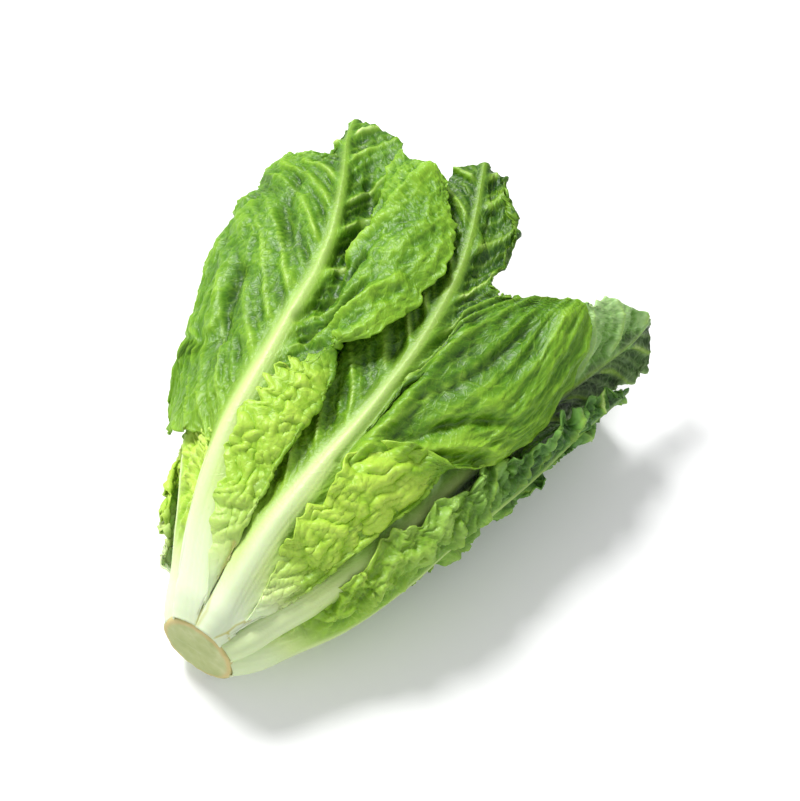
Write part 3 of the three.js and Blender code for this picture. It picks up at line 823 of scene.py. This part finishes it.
def add_stem(name, material):
    """A turned core, made from a sphere whose rings are moved to the outline."""
    shape = bmesh.new()
    bmesh.ops.create_uvsphere(shape, u_segments=STEM_AROUND, v_segments=STEM_RINGS, radius=1)
    mesh = take_mesh(shape, name)
    points, shades = stem_points(read_places(mesh))
    move_places(mesh, points)
    add_shares(mesh, shades)
    shape = bmesh.new()
    shape.from_mesh(mesh)
    bmesh.ops.recalc_face_normals(shape, faces=shape.faces)
    shape.to_mesh(mesh)
    shape.free()
    add_piece(name, mesh, material, "stem_core")


# Inner leaves curve round the heart, each round its own middle angle.

# Their outline, as shares of the half angle from base to tip.
INNER_OUTLINE = [0.55, 0.6, 0.8, 0.98, 1, 0.9, 0.55]
INNER_BASE_Y = 29
INNER_BASE_DEPTH = 9.6
INNER_TIP_ROUND = 16
INNER_SETTLED_AT = 0.25


def inner_lines(middle, half_angle, depth, tip_y):
    lines = []
    for side in (-1, 0, 1):
        line = []
        for i, share in enumerate(INNER_OUTLINE):
            along = i / (len(INNER_OUTLINE) - 1)
            shorter = INNER_TIP_ROUND * along**4 * abs(side)
            settled = min(1, along / INNER_SETTLED_AT)
            line.append([
                INNER_BASE_Y + (tip_y - INNER_BASE_Y) * along - shorter,
                middle + side * half_angle * share,
                INNER_BASE_DEPTH + (depth - INNER_BASE_DEPTH) * settled,
            ])
        lines.append(line)
    return lines


def add_inner_leaf(name, cad_node, material, middle, half_angle, depth, tip_y, seed):
    lines = inner_lines(middle, half_angle, depth, tip_y)
    add_leaf(name, cad_node, "leaf_pale", material, lines, rows=110, columns=54, ripple=1.0,
             waves=4, rib_height=1.2, blister=0.5, swell=1.0, crumple=0.5, pale_until=50,
             seed=seed)


# Heart

HEART_START_Y = 50
HEART_END_Y = 212
HEART_AXIS_Z = 46
HEART_HALF_WIDTH = 33
HEART_HALF_HEIGHT = 15
HEART_CORE_AROUND = 72
HEART_CORE_ALONG = 48
HEART_CORE_SHARE = 0.86
HEART_WRAP_HEIGHT = 0.1
HEART_LEAVES = 7
HEART_LEAF_ROWS = 70
HEART_LEAF_COLUMNS = 34
HEART_LEAF_START_Y = 64
HEART_LEAF_LENGTHS = [128, 140, 152]
HEART_LEAF_HALF_TURN = 0.5
HEART_LEAF_NARROWING = 0.3
HEART_LEAF_TIP_ROUND = 9
HEART_LEAF_LIFT = 0.03
HEART_LEAF_FLARE = 0.16
HEART_LEAF_FRILL = 0.04
HEART_LEAF_FRILL_TURNS = 9

# The heart is as full as this part of a half wave, raised to a power.
HEART_FULL_FROM = 0.12
HEART_FULL_SPAN = 0.78
HEART_FULL_POWER = 0.7


def add_heart_core(name, material):
    """A closed ball with the low ridges of leaves wrapped round it."""
    shape = bmesh.new()
    bmesh.ops.create_uvsphere(
        shape, u_segments=HEART_CORE_AROUND, v_segments=HEART_CORE_ALONG, radius=1)
    for vertex in shape.verts:
        turn = math.atan2(vertex.co.x, vertex.co.z)
        wrap = abs(math.sin(2.5 * turn + 4 * vertex.co.y))
        vertex.co *= HEART_CORE_SHARE + HEART_WRAP_HEIGHT * wrap
    mesh = take_mesh(shape, name)
    half_length = (HEART_END_Y - HEART_START_Y) / 2
    half_sizes = np.array([HEART_HALF_WIDTH, half_length, HEART_HALF_HEIGHT])
    middle = np.array([0, HEART_START_Y + half_length, HEART_AXIS_Z])
    move_places(mesh, middle + read_places(mesh) * half_sizes)
    plain = np.zeros(len(mesh.vertices))
    add_shares(mesh, {"pale": plain, "young": plain, "height": plain, "rim": plain})
    mesh.attributes.new("leaf_place", "FLOAT_VECTOR", "POINT")
    add_piece(name, mesh, material, "heart")


def heart_leaf_points(index, along, side):
    """A heart leaf's points in mm, its shades, and its places along and across in mm."""
    turn = index / HEART_LEAVES * 2 * math.pi
    length = HEART_LEAF_LENGTHS[index % len(HEART_LEAF_LENGTHS)]
    full = HEART_FULL_FROM + HEART_FULL_SPAN * along
    belly = np.sin(np.pi * full) ** HEART_FULL_POWER
    angle = turn + side * HEART_LEAF_HALF_TURN * (1 - HEART_LEAF_NARROWING * along**3)
    crinkle = cell_edges(along * 22 + 3 * side**2, side * 5, 90 + index) - 0.5
    frill = HEART_LEAF_FRILL * side**2 * np.sin(HEART_LEAF_FRILL_TURNS * along + index)
    lift = 1 + HEART_LEAF_LIFT + HEART_LEAF_FLARE * along**2 + frill
    lift = lift + 0.05 * (crinkle + ridge(side, 0.15) * (1 - along)) * ease(along, 0.1, 0.4)
    y = HEART_LEAF_START_Y + (length - HEART_LEAF_TIP_ROUND * side**2) * along
    y = y + 1.5 * lattice_noise(side * 9, along * 0 + index, 95) * along**6
    points = np.stack([
        np.sin(angle) * HEART_HALF_WIDTH * lift * belly, y,
        HEART_AXIS_Z + np.cos(angle) * HEART_HALF_HEIGHT * lift * belly,
    ], -1)
    shades = {
        "pale": np.clip(ridge(side, 0.18) * (1 - 0.5 * along), 0, 1),
        "young": 0.3 * along,
        # Height paints shade in the crinkles' creases and light on their tops; the rim paints
        # light at the thin margin.
        "height": np.clip(0.5 + 0.6 * crinkle, 0, 1),
        "rim": np.abs(side) ** 12,
    }
    over = side * HEART_HALF_WIDTH * HEART_LEAF_HALF_TURN * belly
    return points, shades, length * along, over


def add_heart_leaf(index, material):
    name = "heart_leaf_%d" % (index + 1)
    along, side = np.meshgrid(
        np.linspace(0, 1, HEART_LEAF_ROWS), np.linspace(-1, 1, HEART_LEAF_COLUMNS),
        indexing="ij")
    mesh = grid_mesh(name, *heart_leaf_points(index, along, side))
    add_wall(add_piece(name, mesh, material, "heart"))


# The whole head

add_camera()
add_stage()

outer_green = leaf_material("outer_leaf", OUTER_BLADE)
shaded_green = leaf_material("shaded_leaf", SHADED_BLADE)
crinkled_green = leaf_material("crinkled_leaf", CRINKLED_BLADE)
pale_green = leaf_material("young_leaf", INNER_BLADE)
heart_yellow = leaf_material("heart_leaf", HEART_BLADE)

# Guide lines of each leaf from one edge to the other, as rows of [y, angle, depth].
# Scars and creases are paths of [y, angle], with a half width and a height. A crease also paints
# shade along a valley and light along a crest.

add_leaf("leaf_left_sheet", "leaf_left", "leaf_green", outer_green, [
    [[1.5, -54, 1], [50, -47, 1.5], [84, -45, 1.5], [89, -92, -5],
     [155, -92, 0], [216, -88, -1], [247, -77, -3]],
    [[1.5, -42, 0.5], [47, -43, 0.8], [89, -43, 1], [128, -62, -1],
     [180, -64, -2], [224, -64, -3], [249, -58, -3]],
    [[1.5, -36, 0.2], [46, -41, 0.4], [89, -38, 0.5], [134, -46, -0.5],
     [185, -47, -1], [230, -51, -2], [259, -50, -1]],
    [[1.5, -28, 0], [45, -38, 0], [90, -33, 0], [140, -28, 0],
     [190, -26.5, 0], [236, -35, -2], [279, -54, -5]],
    [[1.5, -14, 0.3], [45, -22, 1], [90, -20, 2], [135, -19, 2],
     [185, -21, 4.5], [234, -26.5, 4.5], [279, -37, 0]],
    [[1.5, -5, 0.6], [42, -4, 1], [85, -4, 0], [131, -4, 0],
     [184, -16, -2.5], [232, -17.5, -4], [266, -27, -3]],
    [[1.5, -1, 0.8], [42, -9, -3], [83, -13, -5], [129, -11, -6],
     [180, -7, -5], [230, -8, -5], [264, -16, -4]],
    [[1.5, 3, 1], [42, -18, -3.5], [80, -26, -5], [128, -19, -6],
     [174, 1, -1], [228, 1, -1], [262, -10, -1]],
], rib_line=3, rows=300, columns=150, ripple=1.6, waves=7, rib_height=2.8, seed=11,
    rib_half_width=11.5, pale_until=92, puff=1.8, fold_line=5, fold_until=146,
    bites=[(-1, 130, 5, 24)],
    scars=[([[3, -2], [13, -1], [22, -2], [34, -4], [46, -5]], 1.1, 0.7)],
    creases=[
        ([[169, -51], [152, -53], [133, -52]], 4, -4.0),
        ([[176, -58], [158, -62], [138, -60]], 5, 3.0),
        ([[234, -51], [211, -47], [190, -38]], 4, -3.5),
        ([[228, -66], [196, -70], [162, -72]], 3, -2.5),
        ([[157, -24], [183, -18], [201, -16]], 2.5, -3.5),
        ([[148, -20], [170, -14], [186, -11]], 2.5, -3.5),
        ([[150, -16], [176, -9], [196, -5]], 3, 2.5),
        ([[193, -23], [210, -24], [228, -26], [244, -31]], 3.5, -4.5),
        ([[200, -21], [234, -18], [262, -16]], 4, 4.0),
        ([[262, -30], [246, -24], [231, -23], [212, -24]], 1.2, 2.0),
        # Wide and low: mostly painted light over the lobe.
        ([[170, -4], [228, -8]], 18, 1.2),
    ])

add_leaf("leaf_middle_sheet", "leaf_middle", "leaf_green", outer_green, [
    [[1.5, -6, 2], [35, -9, 3], [60, -14, 5], [85, -18, 7.5], [105, -20, 8.5],
     [125, -20, 8.5], [150, -20, 8.5], [182, -19, 9], [222, -17, 9], [256, -18, 7],
     [275, -18, 5]],
    [[1.5, 14, 0], [35, 10, 1.5], [60, 8, 2.5], [85, 9, 3.5], [105, 10, 3.5], [125, 11, 3.5],
     [150, 11, 3.5], [182, 10, 3.5], [222, 6, 3.5], [258, -1, 3.5], [285, -8, 2]],
    [[1.5, 24, 0.3], [35, 25, 2.5], [60, 24, 4], [86, 22, 4], [109, 20, 3], [131, 17, 0.5],
     [160, 16, -1.5], [198, 18, -1], [218, 12, 6], [254, 4, 7], [285, -5, 4]],
    [[1.5, 32, 0.8], [36, 48, 2], [60, 50, 2.5], [88, 51, 3], [116, 53, 3.5], [140, 45, 4],
     [174, 46, -1], [220, 32, 0], [219, 16, 5], [253, 10, 6], [284, -2, 4]],
    [[1.5, 37, 1.2], [35, 39, -1.5], [61, 33, -3], [90, 34, -3.5], [119, 39, -2.5], [144, 54, 2],
     [184, 57, 0], [233, 38, 0], [220, 18.5, 4], [255, 13, 4], [283, 0, 3]],
    [[1.5, 42, 1.5], [32, 27, -2.5], [62, 16, -4.5], [92, 17, -5.5], [123, 20, -5], [147, 62, 2],
     [191, 66, 2], [243, 43, 1], [222, 20, 3.5], [253, 13.5, 4], [279, 0, 3]],
], rib_line=1, rows=300, columns=150, ripple=1.4, waves=8, rib_height=3.0, seed=23,
    rib_half_width=10.5, stalk_round=0.8, puff=1.8, grown_at=45, fold_line=3, fold_until=128,
    fold_teeth=0.8, dark_tip=0.5,
    scars=[
        ([[3, 2], [12, 4], [22, -1]], 1.0, 0.5),
        ([[3, 24], [9, 30], [16, 31], [22, 36]], 0.6, 0.8),
        ([[9, 30], [7, 39], [5, 46]], 0.5, 0.8),
    ],
    creases=[
        ([[104, 14.5], [150, 14.5], [200, 14.5]], 2, -2.5),
        ([[104, 19], [140, 18.5], [196, 18]], 3, 2.5),
        ([[122, 27], [144, 33], [160, 42], [170, 52]], 3, -4.0),
        ([[132, 40], [146, 55]], 3, -3.0),
        ([[126, 33], [148, 47], [156, 60]], 3.5, 3.0),
        ([[152, 22], [167, 27], [185, 30], [215, 33]], 3, -2.5),
        ([[170, 38], [205, 44], [232, 38]], 4, 2.0),
        ([[150, 36], [215, 30]], 16, 0.8),
        ([[107, 17], [116, 18], [123, 25], [128, 34]], 3.5, 3.5),
        ([[108, 24], [114, 30], [120, 38]], 2.5, -3.0),
    ])

# On this leaf the shade share paints shade on the half below the rib and light on the half above
# it.
add_leaf("leaf_right_sheet", "leaf_right", "leaf_dark", shaded_green, [
    [[2, 36, 2], [48, 42, 6], [98, 44, 9], [140, 40, 12], [185, 38, 11], [230, 40, 8],
     [257, 48, 5]],
    [[2, 45, 0.8], [49, 52, 4.5], [99, 55, 7.5], [140, 56, 12], [183, 57, 12], [228, 60, 8],
     [265, 63, 4]],
    [[2, 56, 0.5], [50, 62, 3.5], [100, 67, 6.5], [140, 72, 11], [180, 77, 12], [223, 80, 11],
     [272, 82, 7]],
    [[2, 67, 0.8], [50, 72, 4], [100, 79, 7.5], [140, 88, 11.5], [180, 95, 12], [225, 96, 9],
     [268, 93, 5]],
    [[2, 77, 2], [50, 82, 5.5], [100, 94, 10], [140, 104, 10], [180, 108, 9], [222, 103, 6],
     [250, 101, -1]],
], rib_line=2, rows=220, columns=90, ripple=1.2, rib_height=2.2, shade=0.9,
    pale_until=85, whiteness=0.86, seed=37)

add_leaf("leaf_lower_right_sheet", "leaf_lower_right", "leaf_green", crinkled_green, [
    [[1.5, 70, 1.5], [36, 67, 1.5], [60, 60, 1], [92, 55, 1.5], [122, 60, 2.5], [148, 64, 5],
     [168, 71, 3], [188, 68, 1], [206, 76, 1], [226, 84, 1]],
    [[1.5, 84, 0.5], [35, 84, -0.5], [59, 80, -2], [89, 74, -2], [117, 76, -1.5], [142, 79, 0],
     [164, 84, 0], [186, 82, 0], [206, 86, 0], [229, 88, 0]],
    [[1.5, 99, 0], [34, 105, -0.5], [58, 104, -1], [86, 97, -0.5], [110, 93, 0],
     [134, 92, 0], [158, 92, 0], [182, 91, 0], [205, 92, 0], [231, 92, 0]],
    [[1.5, 113, 0.5], [36, 115, 0.5], [59, 114, 0], [88, 108, 0], [113, 101, 0],
     [138, 99, 0], [160, 98, 0], [183, 97, 0], [205, 96, 0], [228, 96, 0]],
    [[1.5, 125, 1], [39, 124, 1], [62, 122, 0.5], [91, 115, 0], [116, 108, -1.5],
     [141, 105, -1.5], [163, 104, -1.5], [185, 102, -1], [206, 100, 0], [224, 99, 1]],
], rib_line=2, rows=240, columns=110, ripple=1.8, waves=8, rib_height=1.0, rib_half_width=10,
    blister=0.6, crumple=1.5, puff=7.5, puff_size=6.5, teeth=2.2, young_base=0.8, young_until=190,
    grown_at=40, whiteness=0.9, pale_until=48, seed=41)

# The negative shade share paints light on this leaf's upper edge.
add_leaf("leaf_far_left_sheet", "leaf_far_left", "leaf_pale", pale_green, [
    [[2, -107, 2], [45, -110, 4.5], [90, -122, 5], [135, -130, 5], [180, -128, 5],
     [220, -120, 5], [244, -104, 4]],
    [[2, -80, 0.5], [45, -78, 1.5], [90, -80, 3.5], [135, -90, 5], [180, -94, 5], [225, -94, 5],
     [254, -92, 4]],
    [[2, -52, 1.5], [45, -42, 2.5], [70, -40, 3], [95, -46, 3.5], [140, -58, 5], [190, -68, 5],
     [242, -80, 4]],
], rows=220, columns=100, ripple=1.4, rib_height=0.5, rib_half_width=2, blister=0.6,
    crumple=1.2, puff=4.0, puff_size=6.5, teeth=1.6, pale_until=50, young=0.6, shade=-0.5,
    seed=53)

# The negative shade share paints light on the curled edge, which lies in shadow, and shade on the
# other side of the rib.
add_leaf("leaf_under_left_sheet", "leaf_under_left", "leaf_green", outer_green, [
    [[2, -152, 1.5], [45, -157, 3], [90, -164, 3.5], [140, -165, 3.5], [185, -162, 3.5],
     [222, -150, 2.5]],
    [[2, -130, 0.5], [45, -132, 0], [90, -135, 0], [140, -137, 0], [185, -136, 0],
     [232, -130, 0]],
    [[2, -106, 0.8], [24, -97, -4], [38, -93, -4.5], [54, -90, -4], [82, -104, 0],
     [140, -112, 1], [215, -112, 1]],
], rows=200, columns=90, ripple=1.6, rib_height=1.4, rib_half_width=7, blister=0.6,
    puff=2.5, puff_size=6.0, teeth=2.0, young=1.0, pale_until=130, shade=-1.0, rests=True,
    seed=61)

add_leaf("leaf_under_middle_sheet", "leaf_under_middle", "leaf_green", outer_green, [
    [[2, 164, 1.5], [45, 163, 0.5], [90, 164, 0], [140, 165, 0], [190, 165, 0], [238, 169, 0]],
    [[2, 188, 0.5], [45, 184, 0], [90, 181, 0], [140, 180, 0], [190, 180, 0], [252, 180, 0]],
    [[2, 211, 1.5], [45, 204, 0.5], [90, 201, 0], [140, 201, 0], [190, 199, 0],
     [238, 192, 0]],
], rows=130, columns=64, ripple=0.5, rib_height=0.8, rests=True, seed=67)

add_leaf("leaf_under_right_sheet", "leaf_under_right", "leaf_green", outer_green, [
    [[2, 120, 1], [45, 122, 3.5], [90, 108, 4], [140, 101, 4.5], [190, 104, 4.5],
     [230, 116, 1]],
    [[2, 144, 0.5], [45, 147, 0], [90, 150, 0], [140, 150, 0], [190, 148, 0], [240, 142, 0]],
    [[2, 168, 1.5], [45, 167, 4], [90, 168, 4.5], [140, 168, 4.5], [190, 167, 4.5],
     [230, 158, 2.5]],
], rows=130, columns=64, ripple=0.8, rib_height=1.0, rests=True, seed=71)

# Inner leaves: middle angle, half angle, depth, y of the tip, and seed.
add_inner_leaf("leaf_inner_left_sheet", "leaf_inner_left", pale_green, -62, 58, 15, 248, 101)
add_inner_leaf("leaf_inner_right_sheet", "leaf_inner_right", pale_green, 66, 54, 18, 238, 103)
add_inner_leaf("leaf_inner_under_sheet", "leaf_inner_under", pale_green, 180, 66, 10, 226, 107)

add_stem("cut_stem_core", stem_material("cut_face"))
add_heart_core("heart_core", heart_yellow)
for heart_index in range(HEART_LEAVES):
    add_heart_leaf(heart_index, heart_yellow)
